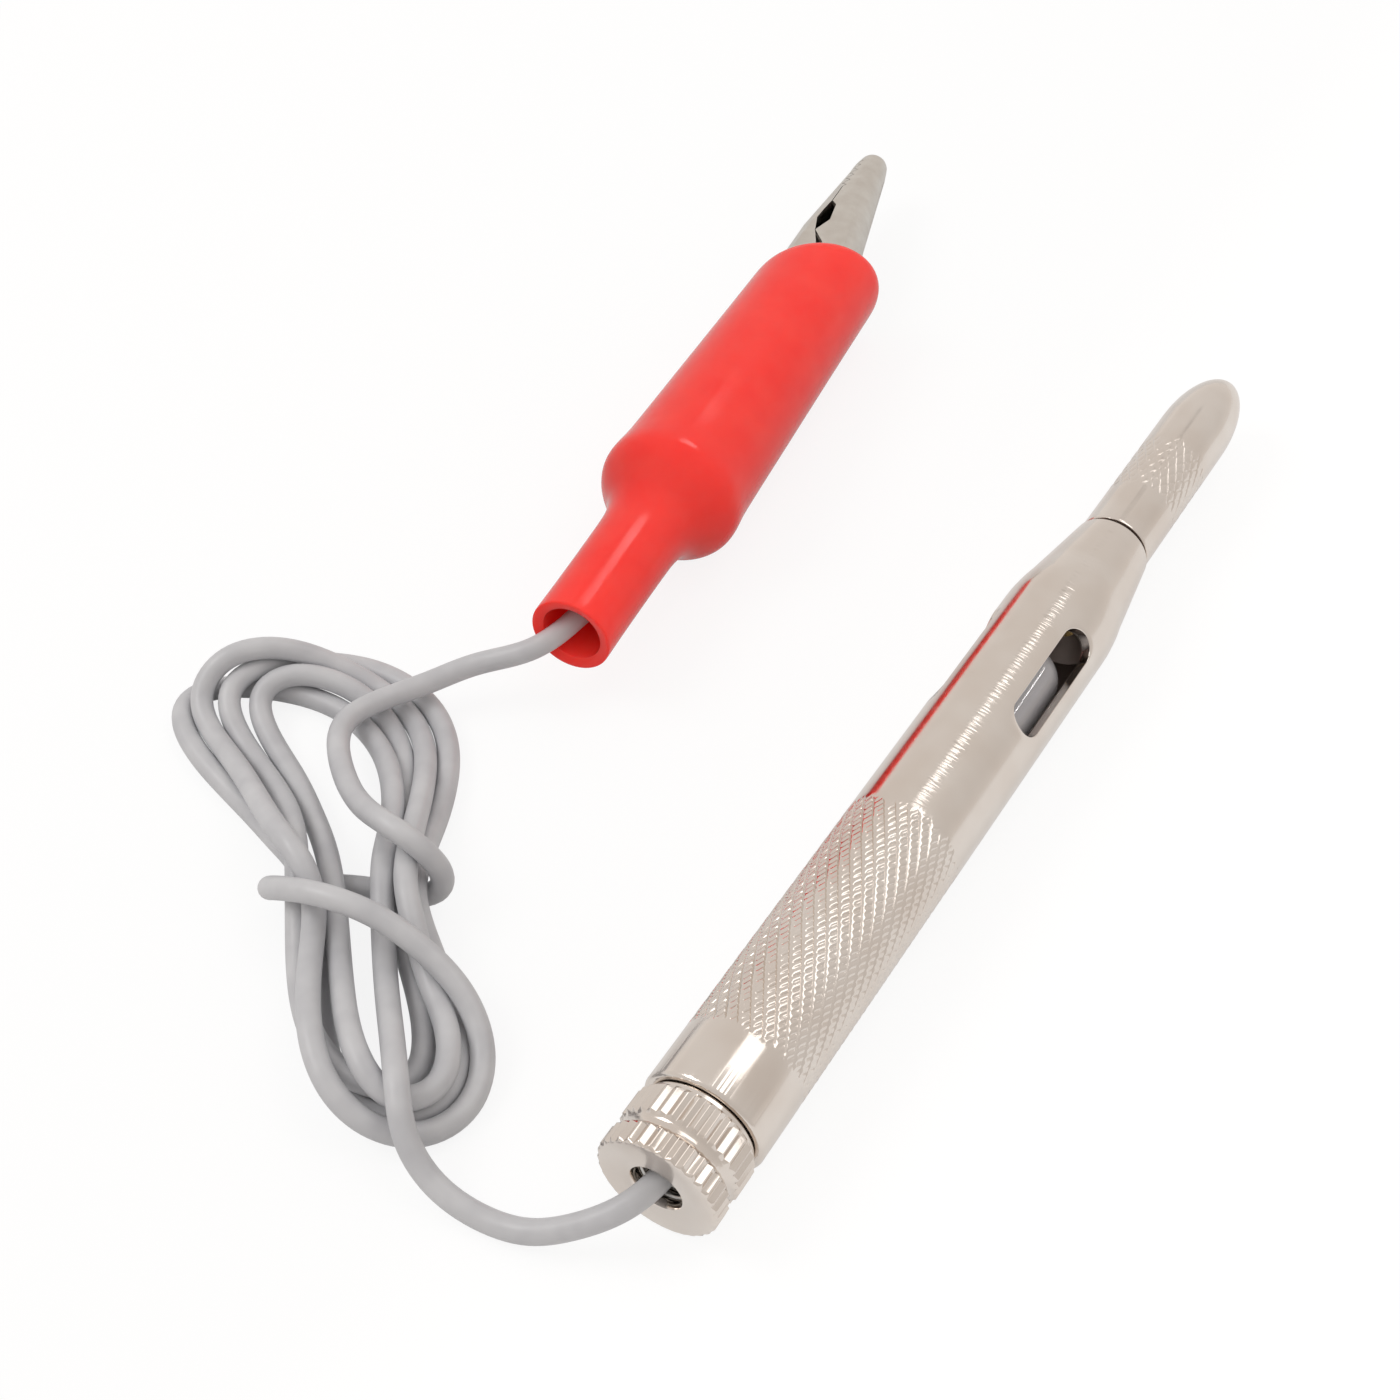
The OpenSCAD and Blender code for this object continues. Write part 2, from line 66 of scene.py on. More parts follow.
def makeCamera():
    lens = bpy.data.cameras.new("camera")
    lens.lens = view["lens"]
    lens.sensor_width = view["sensor"]
    lens.clip_start, lens.clip_end = view["reach"]
    obj = addObject("camera", lens)
    turn = Matrix((view["right"], view["up"], view["back"])).transposed().to_4x4()
    obj.matrix_world = Matrix.Translation(Vector(view["place"]) * mm) @ turn
    bpy.context.scene.camera = obj


makeCamera()
print("camera placed")


# the lead, from inside the boot through the tied bundle to the bush in the pen

lead = {
    "diameter": 2.3,
    # its real length and where it leaves the pen, in metres
    "length": 0.724,
    "leaves": (-0.0515, 0.0, 0.006),
    # how smoothly the curve runs, and how finely it is drawn
    "order": 4,
    "sides": 7,
    "steps": 8,
}
# points that guide it, from the clip to the pen
leadPoints = (
    (11.3, 41.0, 8.0), (9.4, 40.4, 8.0), (5.6, 40.0, 8.1), (-0.2, 40.3, 8.2),
    (-6.0, 41.0, 8.4), (-12.4, 41.4, 8.1), (-16.1, 43.7, 6.4), (-18.6, 48.7, 4.8),
    (-22.8, 51.5, 3.8), (-28.2, 54.6, 4.3), (-33.1, 55.7, 4.7), (-38.2, 50.3, 4.8),
    (-42.3, 44.3, 8.0), (-43.6, 38.7, 10.0), (-42.2, 34.4, 5.0), (-43.3, 36.2, 0.5),
    (-46.0, 43.7, 1.6), (-49.5, 49.5, 0.5), (-52.9, 48.8, 5.0), (-53.0, 42.2, 9.2),
    (-51.6, 36.1, 8.6), (-51.3, 31.5, 6.6), (-51.8, 26.3, 4.4), (-54.7, 21.7, 1.9),
    (-60.0, 19.3, 1.0), (-65.6, 21.2, 1.4), (-67.7, 26.3, 3.2), (-66.6, 30.9, 5.4),
    (-63.0, 35.0, 6.1), (-57.3, 39.5, 4.6), (-51.9, 42.7, 4.9), (-49.8, 45.4, 7.7),
    (-48.5, 49.4, 8.0), (-45.1, 54.8, 5.1), (-40.9, 61.4, 2.7), (-38.2, 67.7, 1.5),
    (-35.7, 71.5, 2.8), (-31.5, 70.6, 5.8), (-27.4, 66.6, 5.5), (-24.9, 62.1, 3.0),
    (-24.3, 57.5, 1.6), (-24.9, 52.4, 0.9), (-28.8, 47.2, 1.7), (-35.6, 43.0, 3.5),
    (-41.6, 39.7, 5.7), (-46.0, 37.1, 6.6), (-48.8, 34.0, 5.2), (-52.2, 30.2, 3.0),
    (-55.9, 24.5, 3.5), (-61.3, 21.5, 3.5), (-65.3, 24.7, 4.0), (-63.6, 29.4, 6.3),
    (-59.0, 34.3, 4.5), (-53.6, 39.2, 3.1), (-48.8, 43.3, 3.9), (-44.9, 47.4, 3.3),
    (-41.4, 52.0, 1.5), (-38.1, 56.8, 1.1), (-35.5, 62.4, 1.2), (-32.5, 66.7, 2.6),
    (-28.4, 64.6, 4.0), (-26.3, 58.4, 2.9), (-27.2, 53.3, 1.1), (-30.6, 48.8, 1.2),
    (-35.5, 45.0, 1.1), (-40.3, 41.8, 2.2), (-44.9, 39.7, 3.5), (-48.3, 36.4, 1.7),
    (-52.0, 31.8, 1.1), (-56.9, 26.6, 1.2), (-62.2, 24.8, 1.7), (-64.8, 29.1, 3.6),
    (-63.4, 34.5, 3.6), (-59.1, 39.5, 2.7), (-54.3, 43.5, 2.9), (-50.4, 46.2, 5.2),
    (-46.9, 49.0, 5.9), (-42.5, 54.0, 3.0), (-39.0, 60.2, 1.0), (-36.7, 65.6, 1.2),
    (-34.2, 69.1, 3.5), (-29.0, 68.2, 3.5), (-24.2, 64.5, 1.2), (-22.0, 59.2, 1.2),
    (-22.3, 53.0, 1.2), (-25.1, 47.7, 1.2), (-29.6, 44.1, 1.2), (-35.2, 41.5, 1.3),
    (-41.1, 39.0, 3.4), (-46.0, 36.5, 4.5), (-48.7, 32.5, 2.2), (-51.9, 27.9, 1.1),
    (-56.1, 23.3, 1.2), (-61.6, 21.6, 1.2), (-66.0, 25.3, 1.2), (-64.7, 31.4, 1.2),
    (-60.7, 35.8, 1.2), (-56.4, 39.6, 1.1), (-52.0, 43.2, 1.5), (-48.3, 46.8, 3.6),
    (-46.3, 52.2, 2.5), (-44.1, 57.1, 1.2), (-42.6, 62.2, 1.2), (-40.5, 68.4, 1.2),
    (-37.0, 73.3, 1.2), (-32.6, 72.0, 1.2), (-29.6, 66.1, 1.2), (-28.2, 60.1, 1.2),
    (-29.5, 54.1, 1.6), (-33.4, 48.2, 3.0), (-38.8, 43.8, 3.9), (-43.8, 41.2, 5.4),
    (-46.8, 39.1, 5.2), (-50.0, 36.8, 3.3), (-55.0, 32.7, 3.1), (-60.7, 27.3, 5.8),
    (-65.0, 23.5, 7.2), (-67.7, 21.2, 4.2), (-68.9, 16.5, 1.1), (-68.5, 9.6, 1.0),
    (-67.0, 5.6, 2.8), (-63.7, 0.7, 5.9), (-57.8, -0.2, 6.0), (-52.0, 0.1, 6.0),
    (-46.2, 0.0, 6.1), (-40.4, 0.2, 6.2), (-34.6, 0.2, 6.3), (-28.8, 0.2, 6.2),
    (-24.9, 0.1, 6.1), (-23.0, 0.0, 6.0),
)


def makeLead():
    curve = bpy.data.curves.new("lead", "CURVE")
    curve.dimensions = "3D"
    curve.bevel_depth = 1
    curve.bevel_resolution = lead["sides"]
    curve.resolution_u = lead["steps"]
    curve.render_resolution_u = lead["steps"]
    curve.use_fill_caps = True
    spline = curve.splines.new("NURBS")
    spline.points.add(len(leadPoints) - 1)
    for point, (x, y, z) in zip(spline.points, leadPoints):
        point.co = (x * mm, y * mm, z * mm, 1)
        point.radius = lead["diameter"] / 2 * mm
    spline.order_u = lead["order"]
    spline.use_endpoint_u = True
    return addObject("lead", curve)


leadPiece = makeLead()
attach(leadPiece, "pen")
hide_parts("cord_pen", "cord_hank", "cord_clip")
print("lead laid")


# making pieces

samePoint = 1e-4


# turns a line of (station, radius) points around the pen's axis
def spinProfile(bm, points, steps):
    ring = [bm.verts.new((x, 0, r)) for x, r in points]
    lines = [bm.edges.new(pair) for pair in zip(ring, ring[1:])]
    bmesh.ops.spin(bm, geom=ring + lines, cent=(0, 0, 0), axis=(1, 0, 0),
                   angle=2 * pi, steps=steps, use_merge=True)
    bmesh.ops.remove_doubles(bm, verts=bm.verts, dist=samePoint)
    bmesh.ops.recalc_face_normals(bm, faces=bm.faces)


# a mesh in metres of a bmesh in millimetres
def meshOf(name, bm, place):
    mesh = bpy.data.meshes.new(name)
    bmesh.ops.transform(bm, matrix=Matrix.Scale(mm, 4) @ place, verts=bm.verts)
    bm.to_mesh(mesh)
    bm.free()
    return mesh


# smooth all over, apart from edges that turn more than an angle in degrees
def smoothOver(mesh, sharp):
    mesh.polygons.foreach_set("use_smooth", [True] * len(mesh.polygons))
    mesh.set_sharp_from_angle(angle=radians(sharp))


# keeps flat and straight faces from being shaded round by their narrow neighbours
def evenShading(obj):
    obj.modifiers.new("evenNormals", "WEIGHTED_NORMAL").keep_sharp = True


# makes a piece of a bmesh, which rides on a body and stands for the replaced nodes
def finishPiece(name, bm, material, body, replaced, sharp=32, place=penPlace,
                even=True):
    mesh = meshOf(name, bm, place)
    smoothOver(mesh, sharp)
    obj = addObject(name, mesh)
    mesh.materials.append(material)
    if even:
        evenShading(obj)
    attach(obj, body)
    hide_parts(*replaced)
    return obj


# applies the modifiers that are on a piece
def settle(obj):
    graph = bpy.context.evaluated_depsgraph_get()
    mesh = bpy.data.meshes.new_from_object(obj.evaluated_get(graph))
    obj.modifiers.clear()
    old = obj.data
    obj.data = mesh
    mesh.name = old.name
    bpy.data.meshes.remove(old)


# materials

# linear colour of an sRGB one whose parts go from 0 to 255
def colour(red, green, blue):
    return tuple((v / 255 / 12.92) if v < 10.3 else ((v / 255 + 0.055) / 1.055) ** 2.4
                 for v in (red, green, blue)) + (1,)


class Wiring:
    def __init__(self, tree):
        self.tree = tree

    # adds a node, and links or sets its inputs
    def add(self, kind, inputs=None, **settings):
        node = self.tree.nodes.new(kind)
        for key, value in settings.items():
            setattr(node, key, value)
        for key, value in (inputs or {}).items():
            if isinstance(value, bpy.types.NodeSocket):
                self.tree.links.new(value, node.inputs[key])
            else:
                node.inputs[key].default_value = value
        return node

    def math(self, operation, a, b=0.0, c=0.0):
        return self.add("ShaderNodeMath", {0: a, 1: b, 2: c}, operation=operation).outputs[0]

    def range(self, value, low, high, fromLow=0.3, fromHigh=0.7):
        return self.add("ShaderNodeMapRange", {0: value, 1: fromLow, 2: fromHigh,
                        3: low, 4: high}).outputs[0]


class Finish(Wiring):
    def __init__(self, name, **values):
        self.material = bpy.data.materials.new(name)
        self.material.use_nodes = True
        super().__init__(self.material.node_tree)
        self.shader = self.tree.nodes["Principled BSDF"]
        self.place = self.add("ShaderNodeTexCoord").outputs["Object"]
        for socket, value in values.items():
            self.shader.inputs[socket.replace("_", " ")].default_value = value

    # noise on object coordinates, stretched by a scale on each axis
    def grain(self, scale, detail=3.0, stretch=(1, 1, 1), where=None):
        spread = self.add("ShaderNodeMapping", {0: where or self.place, "Scale": stretch})
        return self.add("ShaderNodeTexNoise", {"Vector": spread.outputs[0], "Scale": scale,
                        "Detail": detail}).outputs["Fac"]

    # the place's X, Y and Z, its height over the pen's axis and its distance from it
    def fromAxis(self):
        split = self.add("ShaderNodeSeparateXYZ", {0: self.place}).outputs
        up = self.math("SUBTRACT", split[2], axisHeight * mm)
        away = self.math("SQRT", self.math("ADD", self.math("POWER", split[1], 2.0),
                                           self.math("POWER", up, 2.0)))
        return split, up, away

    # way along a turned piece, its radius added so that end faces get rings too
    def roundPen(self, along, around):
        split, up, away = self.fromAxis()
        turn = self.math("ARCTAN2", split[1], up)
        return self.add("ShaderNodeCombineXYZ", {
            0: self.math("MULTIPLY", self.math("ADD", split[0], away), along),
            1: self.math("MULTIPLY", self.math("SINE", turn), around),
            2: self.math("MULTIPLY", self.math("COSINE", turn), around)}).outputs[0]

    def blend(self, share, first, second):
        return self.add("ShaderNodeMix", {0: share, 6: first, 7: second},
                        data_type="RGBA").outputs[2]

    def bump(self, height, distance, strength=1.0, after=None):
        inputs = {"Height": height, "Distance": distance, "Strength": strength}
        if after is not None:
            inputs["Normal"] = after
        return self.add("ShaderNodeBump", inputs).outputs[0]

    def link(self, value, socket):
        self.tree.links.new(value, self.shader.inputs[socket])


plate = {
    "tones": ((228, 218, 209), (236, 229, 222)),
    "roughness": (0.11, 0.18),
    # how many clouds of tone and of roughness lie in a metre
    "clouds": (160, 900),
    # turning marks: how many along a metre, how many around, and their height in metres
    "fineMarks": (9000, 1.5, 0.000006),
    "coarseMarks": (3000, 2, 0.00007),
    # coarse marks lie ahead of a station, in a strip along the top that comes in and goes
    # out again from the first to the second of each pair of places in Y, in metres
    "coarseFrom": 43.6,
    "strip": ((-0.0019, -0.0012), (0.0, 0.0008)),
    # painted shade in the bore: a darker tone from one station to another and within a radius
    "shadedBore": ((0, 79, 4.95), (90.1, 97, 3.8)),
    "boreShadeTone": (150, 139, 134),
    "boredRoughness": 0.5,
}


# nickel plate; the barrel's own is also painted darker inside its bore as shade, and marked
# more coarsely near its windows
def nickelFinish(name, forBarrel=False):
    nickel = Finish(name, Metallic=1.0)
    along, around, height = plate["fineMarks"]
    marks = nickel.grain(1.0, 2.0, where=nickel.roundPen(along, around))
    normal = nickel.bump(marks, height, 0.5)
    wide, narrow = plate["clouds"]
    tone = nickel.blend(nickel.range(nickel.grain(wide, 2.0), 0, 1),
                        *(colour(*tone) for tone in plate["tones"]))
    gloss = nickel.range(nickel.grain(narrow), *plate["roughness"])
    if forBarrel:
        split, up, radius = nickel.fromAxis()
        along, around, height = plate["coarseMarks"]
        marks = nickel.grain(1.0, 1.0, where=nickel.roundPen(along, around))
        coarse = nickel.math("SUBTRACT", marks, 0.5)
        comeIn, goOut = plate["strip"]
        for shown in (nickel.range(split[1], 0, 1, *comeIn),
                      nickel.range(split[1], 1, 0, *goOut),
                      nickel.math("GREATER_THAN", split[0],
                                  (tailX + plate["coarseFrom"]) * mm)):
            coarse = nickel.math("MULTIPLY", coarse, shown)
        normal = nickel.bump(coarse, height, 1.0, normal)
        # painted shade: a mask of the bore, where the plate's tone is darkened
        deep = 0.0
        for start, end, within in plate["shadedBore"]:
            inside = nickel.math("LESS_THAN", radius, within * mm)
            for station, side in ((start, "GREATER_THAN"), (end, "LESS_THAN")):
                past = nickel.math(side, split[0], (tailX + station) * mm)
                inside = nickel.math("MULTIPLY", inside, past)
            deep = nickel.math("ADD", inside, deep)
        # the darker tone in the bore is painted shade
        tone = nickel.blend(deep, tone, colour(*plate["boreShadeTone"]))
        gloss = nickel.add("ShaderNodeMix", {0: deep, 2: gloss,
                           3: plate["boredRoughness"]}).outputs[0]
    nickel.link(tone, "Base Color")
    nickel.link(gloss, "Roughness")
    nickel.link(normal, "Normal")
    return nickel.material


# two tones, lowest and highest roughness, grains in a metre and their height in metres
def plainMetal(name, first, second, low, high, scale=700, height=0.000004):
    metal = Finish(name, Metallic=1.0)
    spots = metal.grain(scale)
    metal.link(metal.blend(metal.range(spots, 0, 1), colour(*first), colour(*second)),
               "Base Color")
    metal.link(metal.range(metal.grain(scale * 2.7), low, high), "Roughness")
    metal.link(metal.bump(spots, height, 0.6), "Normal")
    return metal.material


# the same for plastic, whose tones lie in wide clouds over a fine grain
def softPlastic(name, first, second, low, high, scale, height, **values):
    soft = Finish(name, **values)
    cloud = soft.grain(scale * 0.3, 2.0)
    soft.link(soft.blend(soft.range(cloud, 0, 1), colour(*first), colour(*second)),
              "Base Color")
    soft.link(soft.range(soft.grain(scale), low, high), "Roughness")
    soft.link(soft.bump(soft.grain(scale * 2), height, 0.5), "Normal")
    return soft.material


# clear glass with faint streaks along the lamp
def glassFinish(name, first, second, scale, height):
    glass = Finish(name, Roughness=0.04, IOR=1.5, Transmission_Weight=0.5)
    streak = glass.grain(scale, 2.0, stretch=(0.3, 1, 1))
    glass.link(glass.blend(glass.range(streak, 0, 1), colour(*first), colour(*second)),
               "Base Color")
    glass.link(glass.bump(streak, height, 0.3), "Normal")
    return glass.material


nickelPlate = nickelFinish("nickelPlate")
# the barrel's plate, with painted shade in its bore
shadedBoreNickel = nickelFinish("shadedBoreNickel", forBarrel=True)
clipSteel = plainMetal("clipSheet", (212, 206, 198), (224, 220, 213), 0.28, 0.4, 500)
needleSteel = plainMetal("needleSteel", (196, 197, 198), (216, 216, 216), 0.12, 0.2)
springSteel = plainMetal("springSteel", (188, 187, 184), (206, 205, 203), 0.18, 0.28)
turnedBrass = plainMetal("turnedBrass", (205, 172, 104), (222, 192, 128), 0.2, 0.34)
tinSolder = plainMetal("tinSolder", (186, 186, 188), (204, 204, 206), 0.3, 0.5)
copperCore = plainMetal("copperCore", (206, 128, 88), (226, 150, 108), 0.25, 0.4)
blackFibre = softPlastic("blackFibre", (30, 29, 28), (44, 42, 40), 0.6, 0.75, 900, 0.00003)
greyCord = softPlastic("greyCord", (194, 195, 199), (208, 209, 212), 0.3, 0.4, 900,
                       0.00002)
redBoot = softPlastic("redBoot", (243, 59, 53), (246, 67, 60), 0.12, 0.18, 700, 0.00001,
                      Subsurface_Weight=0.8, Subsurface_Scale=0.003,
                      Subsurface_Radius=(1, 0.15, 0.1), Specular_IOR_Level=0.2)
clearGlass = glassFinish("clearGlass", (222, 221, 225), (236, 235, 238), 260, 0.00004)
print("finishes mixed")

for name, material in {
    "contact_spring": springSteel, "contact_bush": blackFibre, "contact_stud": turnedBrass,
    "lamp_contact": tinSolder, "lamp_shell": turnedBrass, "lamp_supports": springSteel,
    "lamp_filament": springSteel, "lamp_glass": clearGlass, "lamp_seat": turnedBrass,
    "needle_holder": turnedBrass, "probe_needle": needleSteel, "core_pen": copperCore,
    "core_clip": copperCore, "clip_rivet": clipSteel, "clip_spring": springSteel,
    "barrel": nickelPlate, "tail_nut": nickelPlate, "needle_guard": nickelPlate,
    "boot": redBoot, "clip_fixed_jaw": clipSteel, "clip_moving_jaw": clipSteel,
}.items():
    for slot in nodes[name].material_slots:
        slot.material = material
leadPiece.data.materials.append(greyCord)


# the pen's turned and knurled pieces

# rolls a diamond knurl between two stations; one set of lines is the deeper one
# and the other is tracked twice, as a worn knurling wheel leaves it; a fine line gives
# way where a deep one crosses it
def rollKnurl(bm, knurl):
    radius, start, end = knurl["radius"], knurl["start"], knurl["end"]
    lean = tan(radians(knurl["helix"]))
    deepPitch = 2 * pi * radius / knurl["deepLines"]
    finePitch = 2 * pi * radius / knurl["fineLines"]
    firstFine = -ceil(2 * lean * end / finePitch)
    rows = ceil(knurl["fineLines"] - 2 * lean * start / finePitch) - firstFine
    deepForm, fineForm = knurl["deepForm"], knurl["fineForm"]
    # how near points are one at the seam and at a cut end, and how near that end they lie
    seam, sliver, near = 1e-3, 0.012, 0.05
    across = len(deepForm) * knurl["deepLines"]
    along = len(fineForm) * rows
    bmesh.ops.create_grid(bm, x_segments=across, y_segments=along, size=1)
    for vert in bm.verts:
        i = round((vert.co.x + 1) / 2 * across)
        j = round((vert.co.y + 1) / 2 * along)
        line, a = divmod(i, len(deepForm))
        row, b = divmod(j, len(fineForm))
        row += firstFine
        deepShare, deepCut = deepForm[a]
        fineShare, fineCut = fineForm[b]
        deepWay = (line + deepShare) * deepPitch
        fineWay = (row + fineShare) * finePitch
        turn = (deepWay + fineWay) / 2 / radius
        station = (deepWay - fineWay) / (2 * lean)
        depth = max(knurl["deep"] * deepCut,
                    knurl["fine"][row % 2] * fineCut * (1 - deepCut) ** knurl["give"])
        fade = min(1, max(0, min(station - start, end - station) / knurl["runOut"]))
        r = radius - depth * fade
        vert.co = (station, -r * sin(turn), r * cos(turn))
    bmesh.ops.remove_doubles(bm, verts=bm.verts, dist=seam)
    for station, outward in ((start, -1), (end, 1)):
        bmesh.ops.bisect_plane(bm, geom=bm.verts[:] + bm.edges[:] + bm.faces[:],
                               plane_co=(station, 0, 0), plane_no=(outward, 0, 0),
                               clear_outer=True)
    bmesh.ops.remove_doubles(bm, verts=bm.verts, dist=sliver)
    borders = []
    for station in (start, end):
        rim = [e for e in bm.edges if e.is_boundary
               and abs(e.verts[0].co.x - station) < near]
        for vert in {v for e in rim for v in e.verts}:
            out = Vector((0, *vert.co.yz)).normalized()
            vert.co = Vector((station, 0, 0)) + out * radius
        borders.append(rim)
    return borders


# carries an open rim on through (station, radius) points
def drawRim(bm, rim, points):
    for station, radius in points:
        made = bmesh.ops.extrude_edge_only(bm, edges=rim)["geom"]
        rim = [g for g in made if isinstance(g, bmesh.types.BMEdge)]
        for vert in {v for e in rim for v in e.verts}:
            out = Vector((0, *vert.co.yz)).normalized()
            vert.co = Vector((station, 0, 0)) + out * radius
    return rim


def closeRim(bm, rim, station):
    bmesh.ops.pointmerge(bm, verts=list({v for e in rim for v in e.verts}),
                         merge_co=(station, 0, 0))


def tidy(bm):
    bmesh.ops.dissolve_degenerate(bm, edges=bm.edges, dist=samePoint)
    bmesh.ops.recalc_face_normals(bm, faces=bm.faces)


barrel = {
    "radius": 6.0,
    "bore": 4.8,
    "joint": 7.3,
    # distance ahead of the joint and cut off the radius
    "rearEdge": ((0.45, 0), (0.15, 0.12), (0, 0.35)),
    "boreEdge": 0.1,
    # plain rings behind and ahead of the knurl, which keep its shading off the rest
    "rings": ((13.6,), (43.8, 58.0, 74.0)),
    "knurl": {"radius": 6.0, "start": 13.9, "end": 43.3, "helix": 30,
              "deepLines": 30, "fineLines": 54, "deep": 0.15, "fine": (0.125, 0.095),
              "give": 4, "runOut": 0.6,
              # share of the pitch and share of the depth, from the bottom of a line
              "deepForm": ((0, 1), (0.12, 0.55), (0.24, 0.22), (0.36, 0.04), (0.5, 0),
                           (0.88, 0), (0.93, 0.06)),
              "fineForm": ((0, 1), (0.15, 0.62), (0.4, 0.2), (0.6, 0), (0.74, 0.28),
                           (0.88, 0.66))},
    "taper": ((76.3, 6.0), (77.1, 5.985), (77.8, 5.94), (78.5, 5.87), (79.3, 5.78),
              (80.1, 5.65), (80.9, 5.5), (84, 5.055), (87.1, 4.61), (90.1, 4.18),
              (90.15, 4.08)),
    "noseFace": 90.2,
    "spigot": (2.9, 95.9),
    "spigotEdge": 0.35,
    "noseBore": 1.9,
    # the bore narrows between these stations
    "throat": (79.2, 76.7),
    "window": {"length": 14.8, "width": 3.9, "end": 73.5, "turn": 48, "count": 3,
               "sides": 66, "sharp": 38,
               # depth under the surface and way outward, over the broken rim
               "flare": ((4, 0), (0.12, 0), (0.055, 0.02), (0.01, 0.07), (-0.1, 0.24),
                         (-2, 0.3))},
}


# a plug for each window, which flares where it leaves the metal
def windowCutter():
    window, radius = barrel["window"], barrel["radius"]
    half = window["width"] / 2
    reach = window["length"] / 2 - half
    bm = bmesh.new()
    for i in range(window["count"]):
        made = bmesh.ops.create_circle(bm, segments=window["sides"], radius=half,
                                       cap_ends=True)["verts"]
        cap = made[0].link_faces[0]
        for vert in made:
            vert.co.x += copysign(reach, vert.co.x)
        for deep, outward in window["flare"]:
            for vert in cap.verts:
                side = copysign(reach, vert.co.x)
                way = Vector((vert.co.x - side, vert.co.y)).normalized() * (half + outward)
                vert.co = (side + way.x, way.y, sqrt(radius ** 2 - way.y ** 2) - deep)
            made.extend(v for v in cap.verts if v not in made)
            if outward < window["flare"][-1][1]:
                up = bmesh.ops.extrude_face_region(bm, geom=[cap])["geom"]
                if deep < window["flare"][0][0]:
                    bmesh.ops.delete(bm, geom=[cap], context="FACES_ONLY")
                cap = next(g for g in up if isinstance(g, bmesh.types.BMFace))
        middle = window["end"] - window["length"] / 2
        turn = Matrix.Rotation(radians(window["turn"] + i * 360 / window["count"]), 4, "X")
        bmesh.ops.transform(bm, matrix=turn @ Matrix.Translation((middle, 0, 0)), verts=made)
    bmesh.ops.recalc_face_normals(bm, faces=bm.faces)
    return addObject("windowCutter", meshOf("windowCutter", bm, penPlace))


def cutWindows(obj):
    cutter = windowCutter()
    cut = obj.modifiers.new("windows", "BOOLEAN")
    cut.operation = "DIFFERENCE"
    cut.solver = "EXACT"
    cut.object = cutter
    settle(obj)
    bpy.data.objects.remove(cutter)
    smoothOver(obj.data, barrel["window"]["sharp"])
    evenShading(obj)


def makeBarrel():
    radius, bore, joint = barrel["radius"], barrel["bore"], barrel["joint"]
    spigot, spigotEnd = barrel["spigot"]
    edge, spigotEdge = barrel["boreEdge"], barrel["spigotEdge"]
    behind, beyond = ([(station, radius) for station in part] for part in barrel["rings"])
    throatEnd, throatStart = barrel["throat"]
    bm = bmesh.new()
    back, front = rollKnurl(bm, barrel["knurl"])
    inside = drawRim(bm, back, [
        *behind, *((joint + ahead, radius - cut) for ahead, cut in barrel["rearEdge"]),
        (joint, bore + edge), (joint + edge, bore)])
    nose = drawRim(bm, front, [
        *beyond, *barrel["taper"], (barrel["noseFace"], spigot),
        (spigotEnd - spigotEdge, spigot), (spigotEnd, spigot - spigotEdge),
        (spigotEnd, barrel["noseBore"]), (throatEnd, barrel["noseBore"]),
        (throatStart, bore)])
    bmesh.ops.bridge_loops(bm, edges=inside + nose)
    tidy(bm)
    piece = finishPiece("barrelShell", bm, shadedBoreNickel, "pen", ["barrel"],
                        even=False)
    cutWindows(piece)


makeBarrel()
print("barrel knurled")


nut = {
    "flutes": 34,
    "firstCrest": 4.4,
    "fluteDepth": 0.34,
    # share of a flute's pitch and share of its depth, from the middle of a crest
    "rib": ((0, 0), (0.035, 0.02), (0.09, 0.14), (0.455, 0.97), (0.5, 1), (0.545, 0.97),
            (0.91, 0.14), (0.965, 0.02)),
    # stations and largest radii of the head
    "head": ((0, 5.6), (0.05, 5.71), (0.12, 5.81), (0.21, 5.89), (0.3, 5.94), (0.4, 5.95),
             (2.15, 5.95), (2.34, 5.62), (2.5, 5.46), (2.7, 5.4), (3.1, 5.4),
             (3.3, 5.46), (3.46, 5.62), (3.65, 5.95), (6.22, 5.95), (6.62, 5.56)),
    "neck": ((6.68, 5.3), (7.1, 5.3)),
    # the end face and the broken edge of its hole
    "face": ((0, 5.35), (0, 2.75), (0.07, 2.6), (0.25, 2.5)),
    "hole": 2.5,
    "spigot": (4.75, 12.5),
    "spigotEdge": 0.35,
    "pocket": 3.05,
    "lip": 0.8,
}


